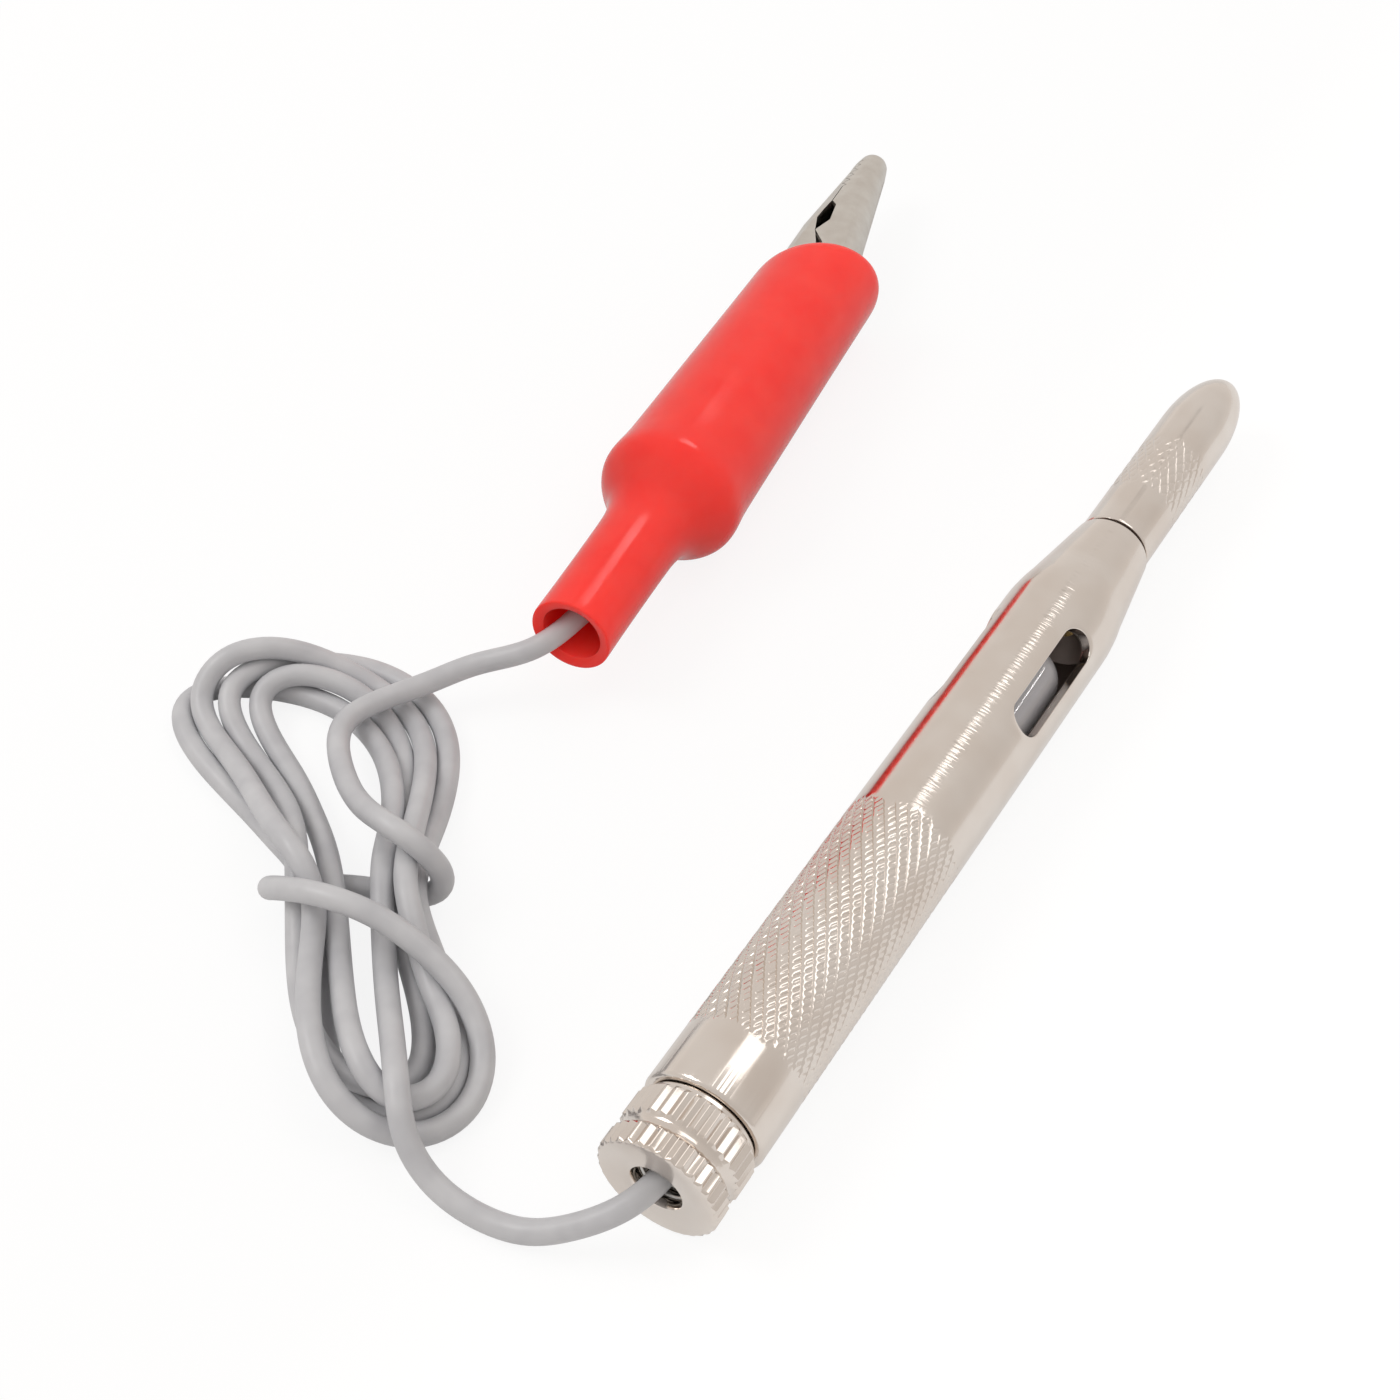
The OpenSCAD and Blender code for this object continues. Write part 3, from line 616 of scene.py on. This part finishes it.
def makeNut():
    rib, count = nut["rib"], nut["flutes"]
    radius = max(limit for station, limit in nut["head"])
    bm = bmesh.new()
    made = bmesh.ops.create_circle(bm, segments=len(rib) * count, radius=1)["verts"]
    bmesh.ops.rotate(bm, verts=made, matrix=Matrix.Rotation(pi / 2, 3, "Y"))
    order = {}
    for i, vert in enumerate(made):
        share, cut = rib[i % len(rib)]
        order[vert] = (radians(nut["firstCrest"]) + 2 * pi * (i // len(rib) + share) / count,
                       cut)
    rim = list({e for v in made for e in v.link_edges})

    # a ring of the head, with the flutes cut into it
    def shape(verts, station, limit):
        for vert in verts:
            turn, cut = order[vert]
            r = min(limit, radius - cut * nut["fluteDepth"])
            vert.co = (station, -r * sin(turn), r * cos(turn))

    shape(made, *nut["head"][0])
    first = rim
    for station, limit in nut["head"][1:]:
        before = {v.co.copy().freeze(): order[v] for e in rim for v in e.verts}
        made = bmesh.ops.extrude_edge_only(bm, edges=rim)["geom"]
        rim = [g for g in made if isinstance(g, bmesh.types.BMEdge)]
        ring = list({v for e in rim for v in e.verts})
        for vert in ring:
            order[vert] = before[vert.co.copy().freeze()]
        shape(ring, station, limit)
    (spigot, spigotEnd), edge = nut["spigot"], nut["spigotEdge"]
    back = drawRim(bm, first, [*nut["face"], (nut["lip"], nut["hole"]),
                               (nut["lip"], nut["pocket"])])
    ahead = drawRim(bm, rim, [*nut["neck"], (nut["neck"][-1][0], spigot),
                              (spigotEnd - edge, spigot), (spigotEnd, spigot - edge),
                              (spigotEnd, nut["pocket"])])
    bmesh.ops.bridge_loops(bm, edges=back + ahead)
    tidy(bm)
    finishPiece("tailNut", bm, nickelPlate, "nut", ["tail_nut"])


makeNut()
print("tail nut fluted")


guard = {
    "radius": 3.95,
    "start": 90.4,
    "end": 122.0,
    # distance ahead of the start and cut off the radius
    "rearEdge": ((0.7, 0), (0.44, 0), (0.37, 0.04), (0.34, 0.14)),
    "boreEdge": 0.1,
    "tip": 10.0,
    "tipStep": 4,
    "bore": (2.95, 2.3),
    # where the bore narrows, counted from the start, and where it ends, from the tip
    "throat": (5.9, 6.2),
    "blind": 4,
    "drillPoint": 0.4,
    # plain rings behind and ahead of the band
    "rings": (96.6, 106.8),
    "band": {"radius": 3.95, "start": 97.2, "end": 106.2, "helix": 30,
             "deepLines": 20, "fineLines": 22, "deep": 0.085, "fine": (0.085, 0.085),
             "give": 4, "runOut": 0.4,
             "deepForm": ((0, 1), (0.1, 0.5), (0.2, 0.14), (0.3, 0), (0.78, 0), (0.9, 0.36)),
             "fineForm": ((0, 1), (0.1, 0.5), (0.2, 0.14), (0.3, 0), (0.78, 0), (0.9, 0.36))},
}


def makeGuard():
    radius, start, tip = guard["radius"], guard["start"], guard["tip"]
    wide, narrow = guard["bore"]
    behind, beyond = guard["rings"]
    shoulder, bottom = guard["end"] - tip, guard["end"] - guard["blind"]
    face = start + guard["rearEdge"][-1][0]
    bm = bmesh.new()
    back, front = rollKnurl(bm, guard["band"])
    inside = drawRim(bm, back, [
        (behind, radius), *((start + ahead, radius - cut) for ahead, cut in guard["rearEdge"]),
        (face, wide + guard["boreEdge"]), (face + guard["boreEdge"], wide),
        (start + guard["throat"][0], wide), (start + guard["throat"][1], narrow),
        (bottom, narrow)])
    closeRim(bm, drawRim(bm, inside, [(bottom, guard["drillPoint"])]), bottom)
    bullet = [(shoulder + tip * sin(radians(a)), radius * cos(radians(a)))
              for a in range(guard["tipStep"], 90, guard["tipStep"])]
    nose = drawRim(bm, front, [(beyond, radius), (shoulder, radius), *bullet])
    closeRim(bm, nose, guard["end"])
    tidy(bm)
    finishPiece("pointGuard", bm, nickelPlate, "guard", ["needle_guard"])


makeGuard()
print("guard rounded")


# the boot, a dipped vinyl sleeve with a swelling over the clip's handles

boot = {
    "place": (-13.4, 40.3, 8.543),
    "turn": 7,
    "dip": 1.324,
    "wall": 1.15,
    # distance from the rear mouth and outer radius
    "outline": ((0.0, 4.3), (0.18, 4.36), (0.8, 4.38), (3, 4.34), (9, 4.36), (13, 4.4),
                (15.5, 4.44), (17, 4.57), (18.2, 4.85), (19.2, 5.25), (20.1, 5.83), (21, 6.6),
                (21.9, 7.32), (22.8, 7.8), (23.7, 8.02), (24.8, 8.0), (26, 7.86),
                (27.4, 7.74), (30, 7.67), (34, 7.58), (40, 7.46), (50, 7.24),
                (60, 7.05), (72, 6.88)),
    "mouthAt": 65.6,
    "slant": 24,
    # how far the front lip reaches past its first ring, and how far it draws in
    "lip": ((0.6, 0.04), (1.2, 0.14), (1.7, 0.36), (1.95, 0.75)),
    "sides": 48,
    "levels": 2,
}


def atBoot():
    return (Matrix.Translation(boot["place"])
            @ Matrix.Rotation(radians(boot["turn"]), 4, "Z")
            @ Matrix.Rotation(radians(boot["dip"]), 4, "Y"))


def makeBoot():
    bm = bmesh.new()
    spinProfile(bm, boot["outline"], boot["sides"])
    slant = Vector((cos(radians(boot["slant"])), sin(radians(boot["slant"])), 0))
    reach = boot["lip"][-1][0]
    bmesh.ops.bisect_plane(bm, geom=bm.verts[:] + bm.edges[:] + bm.faces[:],
                           plane_co=Vector((boot["mouthAt"], 0, 0)) - slant * reach,
                           plane_no=slant, clear_outer=True)
    rim = [e for e in bm.edges if e.is_boundary and e.verts[0].co.x > boot["mouthAt"] / 2]
    start = {v: v.co.copy() for e in rim for v in e.verts}
    for ahead, inward in boot["lip"]:
        old = {v.co.copy().freeze(): start[v] for v in start}
        made = bmesh.ops.extrude_edge_only(bm, edges=rim)["geom"]
        rim = [g for g in made if isinstance(g, bmesh.types.BMEdge)]
        start = {v: old[v.co.copy().freeze()] for e in rim for v in e.verts}
        for vert, first in start.items():
            out = Vector((0, *first.yz)).normalized()
            vert.co = first + Vector((ahead / slant.x, 0, 0)) - out * inward
    bmesh.ops.recalc_face_normals(bm, faces=bm.faces)
    piece = finishPiece("boot_sleeve", bm, redBoot, "pen", ["boot"], 180,
                        atBoot(), even=False)
    wall = piece.modifiers.new("wall", "SOLIDIFY")
    wall.thickness = boot["wall"] * mm
    wall.offset = -1
    wall.use_even_offset = True
    soft = piece.modifiers.new("soft", "SUBSURF")
    soft.levels = soft.render_levels = boot["levels"]
    return piece


bootPiece = makeBoot()
print("boot dipped")


# the crocodile clip: the sheet jaws and rivet keep the frame's shape, with broken edges
# and blunter tips

clip = {
    # how near points of the frame's meshes are one, in metres
    "samePoint": 2e-6,
    "edge": 0.05,
    "rivetEdge": 0.16,
    "edgeSteps": 2,
    # degrees: faces are one when flatter, edges broken and shading split when sharper
    "flat": 1.0,
    "broken": 38,
    "sharp": 40,
    # place and turn of the rivet along the boot
    "rivetAt": (62.5, 1, 0),
    "turn": 5,
    # ahead of the first distance from the rivet the tip swells, fully at the second
    "blunt": (26.5, 30),
    "wider": 0.13,
    "shorter": 0.6,
}


# makes the tip of a jaw blunter
def bluntTip(bm):
    atRivet = (atBoot() @ Matrix.Translation(clip["rivetAt"])
               @ Matrix.Rotation(radians(clip["turn"]), 4, "Z"))
    start, full = clip["blunt"]
    for vert in bm.verts:
        local = atRivet.inverted() @ vert.co
        share = min(1, max(0, (local.x - start) / (full - start)))
        share *= share * (3 - 2 * share)  # starts and ends softly
        local.x -= share * clip["shorter"]
        local.yz = local.yz * (1 + share * clip["wider"])
        vert.co = atRivet @ local


# a copy of a node's shape with its edges broken
def easedCopy(node, name, body, material, width):
    bm = bmesh.new()
    bm.from_mesh(nodes[node].data)
    bmesh.ops.remove_doubles(bm, verts=bm.verts, dist=clip["samePoint"])
    bmesh.ops.dissolve_limit(bm, angle_limit=radians(clip["flat"]), verts=bm.verts,
                             edges=bm.edges)
    bmesh.ops.transform(bm, matrix=Matrix.Scale(1 / mm, 4), verts=bm.verts)
    if node != "clip_rivet":
        bluntTip(bm)
    piece = finishPiece(name, bm, material, body, [node], clip["sharp"],
                        Matrix.Identity(4), even=False)
    ease = piece.modifiers.new("brokenEdges", "BEVEL")
    ease.width = width * mm
    ease.segments = clip["edgeSteps"]
    ease.limit_method = "ANGLE"
    ease.angle_limit = radians(clip["broken"])
    ease.use_clamp_overlap = True
    evenShading(piece)


easedCopy("clip_fixed_jaw", "fixedJaw", "pen", clipSteel, clip["edge"])
easedCopy("clip_moving_jaw", "movingJaw", "jaw", clipSteel, clip["edge"])
easedCopy("clip_rivet", "jawRivet", "pen", clipSteel, clip["rivetEdge"])
print("clip bent")


# the spring inside the tail, seen round the lead where it leaves the nut

spring = {
    "start": 0.8,
    "end": 35.1,
    "radius": 2.5,
    "wire": 0.3,
    "pitch": 1.7,
    # turns that are wound close at each end, and their pitch
    "closed": (1.25, 0.64),
    "steps": 28,
    "sides": 10,
}


def makeSpring():
    wire, steps = spring["wire"], spring["steps"]
    closedTurns, closedPitch = spring["closed"]
    between = (spring["end"] - spring["start"] - 2 * wire
               - 2 * closedTurns * closedPitch) / spring["pitch"]
    bm = bmesh.new()
    bmesh.ops.create_circle(bm, segments=spring["sides"], radius=wire)
    bmesh.ops.rotate(bm, verts=bm.verts, matrix=Matrix.Rotation(pi / 2, 3, "X"))
    bmesh.ops.translate(bm, verts=bm.verts, vec=(spring["start"] + wire, 0, spring["radius"]))
    last = bm.verts[:] + bm.edges[:]
    for turns, pitch in ((closedTurns, closedPitch), (between, spring["pitch"]),
                         (closedTurns, closedPitch)):
        count = round(turns * steps)
        last = bmesh.ops.spin(bm, geom=last, axis=(1, 0, 0), cent=(0, 0, 0), steps=count,
                              angle=2 * pi * turns,
                              dvec=(pitch * turns / count, 0, 0))["geom_last"]
    bmesh.ops.holes_fill(bm, edges=bm.edges)
    bmesh.ops.recalc_face_normals(bm, faces=bm.faces)
    finishPiece("tailSpring", bm, springSteel, "pen", ["contact_spring"],
                60, even=False)


makeSpring()
print("tail spring wound")


# the lamp's glass, which swells above its brass shell

bulb = {
    # station and outer radius, from the neck to the dome
    "outline": ((54.1, 3.08), (54.6, 3.1), (55.2, 3.4), (55.9, 3.84), (56.8, 4.08),
                (58, 4.1), (67.9, 4.1)),
    # length and radius of the dome, and degrees between its rings
    "dome": (3.9, 4.1),
    "domeStep": 10,
    "wall": 0.4,
    "steps": 64,
}


def makeBulb():
    long, wide = bulb["dome"]
    start = bulb["outline"][-1][0]
    outline = list(bulb["outline"])
    outline += [(start + long * sin(radians(a)), wide * cos(radians(a)))
                for a in range(bulb["domeStep"], 90, bulb["domeStep"])]
    outline.append((start + long, 0.0))
    bm = bmesh.new()
    spinProfile(bm, outline, bulb["steps"])
    piece = finishPiece("lampGlass", bm, clearGlass, "pen", ["lamp_glass"],
                        180, even=False)
    wall = piece.modifiers.new("wall", "SOLIDIFY")
    wall.thickness = bulb["wall"] * mm
    wall.offset = -1
    return piece


bulbPiece = makeBulb()
print("lamp glass blown")


# studio

studio = {
    # level of the light from a height, given as its sine, from the horizon up
    "levels": ((0.0, 0.78), (0.1, 0.74), (0.3, 0.70), (0.6, 0.71), (0.85, 0.72), (1.0, 0.76)),
    "tint": (250, 244, 239),
    # how much the light gains toward +X and toward +Y
    "gain": (0.06, 0.085),
    # a darker spot ahead of the pen: its way in X and Y, half width and half height, level,
    # and where it starts and stops to fade
    "spot": ((0.745, 0.13), (0.03, 0.075), 0.7, (0.5, 1.2)),
    # middle in metres, directions of the long and short sides, their lengths in metres,
    # power, a piece that is left out of its light or the only thing in it, and whether it
    # is mirrored
    "softboxes": (
        ((0.182, -0.113, 0.510), (0.093, 0.986, 0.172), (0.932, -0.022, -0.375),
         0.305, 0.20, 0.21, ("boot", "EXCLUDE"), True),
        ((0.328, 0.012, 0.454), (0.0, 1.0, 0.0), (0.79, 0.0, -0.61),
         0.09, 0.06, 0.021, ("boot", "EXCLUDE"), True),
        ((-0.240, 0.480, 0.592), (0.894, 0.447, 0.0), (-0.35, 0.70, -0.62),
         0.40, 0.30, 1.2, ("boot", "EXCLUDE"), True),
        ((0.210, 0.056, 0.222), (0.0, 1.0, 0.0), (0.70, 0.0, -0.70),
         0.09, 0.045, 0.08, ("boot", "INCLUDE"), True),
        ((0.274, -0.275, 0.141), (0.72, 0.66, 0.0), (0.0, -0.3, 0.95),
         0.12, 0.012, 0.085, ("glass", "INCLUDE"), True),
        ((-0.120, -0.120, 0.480), (1.0, 0.0, 0.0), (0.0, 0.97, 0.24),
         0.50, 0.50, 1.5, ("boot", "INCLUDE"), False),
    ),
    "floor": 1500,
    # shares of the paper's own light, to the camera and in the metal, and its strength
    "floorSeen": (0.8, 0.45),
    "floorGlow": 1.08,
    # greys of the paper before the pen and behind it, darker behind as painted shade where the
    # paper turns away from the light, and where it turns in Y, in metres
    "paper": (240, 223),
    "paperShadeTurn": (0, 0.02),
}


def makeWorld():
    world = bpy.data.worlds.new("studio")
    bpy.context.scene.world = world
    world.use_nodes = True
    world.node_tree.nodes.clear()
    sky = Wiring(world.node_tree)
    way = sky.add("ShaderNodeTexCoord").outputs["Generated"]
    split = sky.add("ShaderNodeSeparateXYZ", {0: way}).outputs
    ramp = sky.add("ShaderNodeValToRGB", {0: split[2]})
    tint = colour(*studio["tint"])
    while len(ramp.color_ramp.elements) < len(studio["levels"]):
        ramp.color_ramp.elements.new(0.5)
    for step, (height, level) in zip(ramp.color_ramp.elements, studio["levels"]):
        step.position = height
        step.color = [level * v for v in tint[:3]] + [1]
    gained = 1
    for side, gain in enumerate(studio["gain"]):
        gained = sky.math("MULTIPLY_ADD", split[side], gain, gained)
    (atX, atY), (halfX, halfY), low, fade = studio["spot"]
    around = sky.add("ShaderNodeMapping", {0: way, "Scale": (1 / halfX, 1 / halfY, 0),
                     "Location": (-atX / halfX, -atY / halfY, 0)}).outputs[0]
    away = sky.add("ShaderNodeVectorMath", {0: around}, operation="LENGTH").outputs["Value"]
    strength = sky.math("MULTIPLY", gained, sky.range(away, low, 1, *fade))
    tone = sky.add("ShaderNodeBackground", {0: ramp.outputs[0], 1: strength}).outputs[0]
    white = sky.add("ShaderNodeBackground", {0: (1, 1, 1, 1), 1: 1}).outputs[0]
    toCamera = sky.add("ShaderNodeLightPath").outputs["Is Camera Ray"]
    mix = sky.add("ShaderNodeMixShader", {0: toCamera, 1: tone, 2: white}).outputs[0]
    sky.add("ShaderNodeOutputWorld", {0: mix})


def makeSoftbox(name, middle, along, across, length, width, power, only, mirrored):
    lamp = bpy.data.lights.new(name, "AREA")
    lamp.shape = "RECTANGLE"
    lamp.size = length
    lamp.size_y = width
    lamp.energy = power
    obj = addObject(name, lamp)
    along = Vector(along).normalized()
    back = along.cross(Vector(across)).normalized()
    if back.dot(Vector(middle)) < 0:
        back = -back
    turn = Matrix((along, back.cross(along), back)).transposed().to_4x4()
    obj.matrix_world = Matrix.Translation(middle) @ turn
    obj.visible_glossy = mirrored
    piece, state = only
    linked = bpy.data.collections.new(name)
    linked.objects.link({"boot": bootPiece, "glass": bulbPiece}[piece])
    linked.collection_objects[0].light_linking.link_state = state
    obj.light_linking.receiver_collection = linked


def makeFloor():
    bm = bmesh.new()
    bmesh.ops.create_grid(bm, x_segments=1, y_segments=1, size=studio["floor"])
    floor = addObject("floor", meshOf("floor", bm, Matrix.Identity(4)))
    paper = Finish("paper", Roughness=0.9)
    split = paper.add("ShaderNodeSeparateXYZ", {0: paper.place}).outputs
    # painted shade: the paper is greyer behind the pen
    tone = paper.blend(paper.range(split[1], 0, 1, *studio["paperShadeTurn"]),
                       *(colour(grey, grey, grey) for grey in studio["paper"]))
    paper.link(tone, "Base Color")
    path = paper.add("ShaderNodeLightPath").outputs
    toCamera, inMetal = studio["floorSeen"]
    seen = paper.math("ADD", paper.math("MULTIPLY", path["Is Camera Ray"], toCamera),
                      paper.math("MULTIPLY", path["Is Glossy Ray"], inMetal))
    white = paper.blend(path["Is Camera Ray"], tone, (1, 1, 1, 1))
    glow = paper.add("ShaderNodeEmission", {0: white, 1: studio["floorGlow"]}).outputs[0]
    both = paper.add("ShaderNodeMixShader", {0: seen, 1: paper.shader.outputs[0],
                     2: glow}).outputs[0]
    paper.tree.links.new(both, paper.tree.nodes["Material Output"].inputs[0])
    floor.data.materials.append(paper.material)


makeWorld()
for i, box in enumerate(studio["softboxes"]):
    makeSoftbox("softbox%d" % i, *box)
makeFloor()
bpy.context.scene.view_settings.view_transform = "Standard"
print("studio lit")
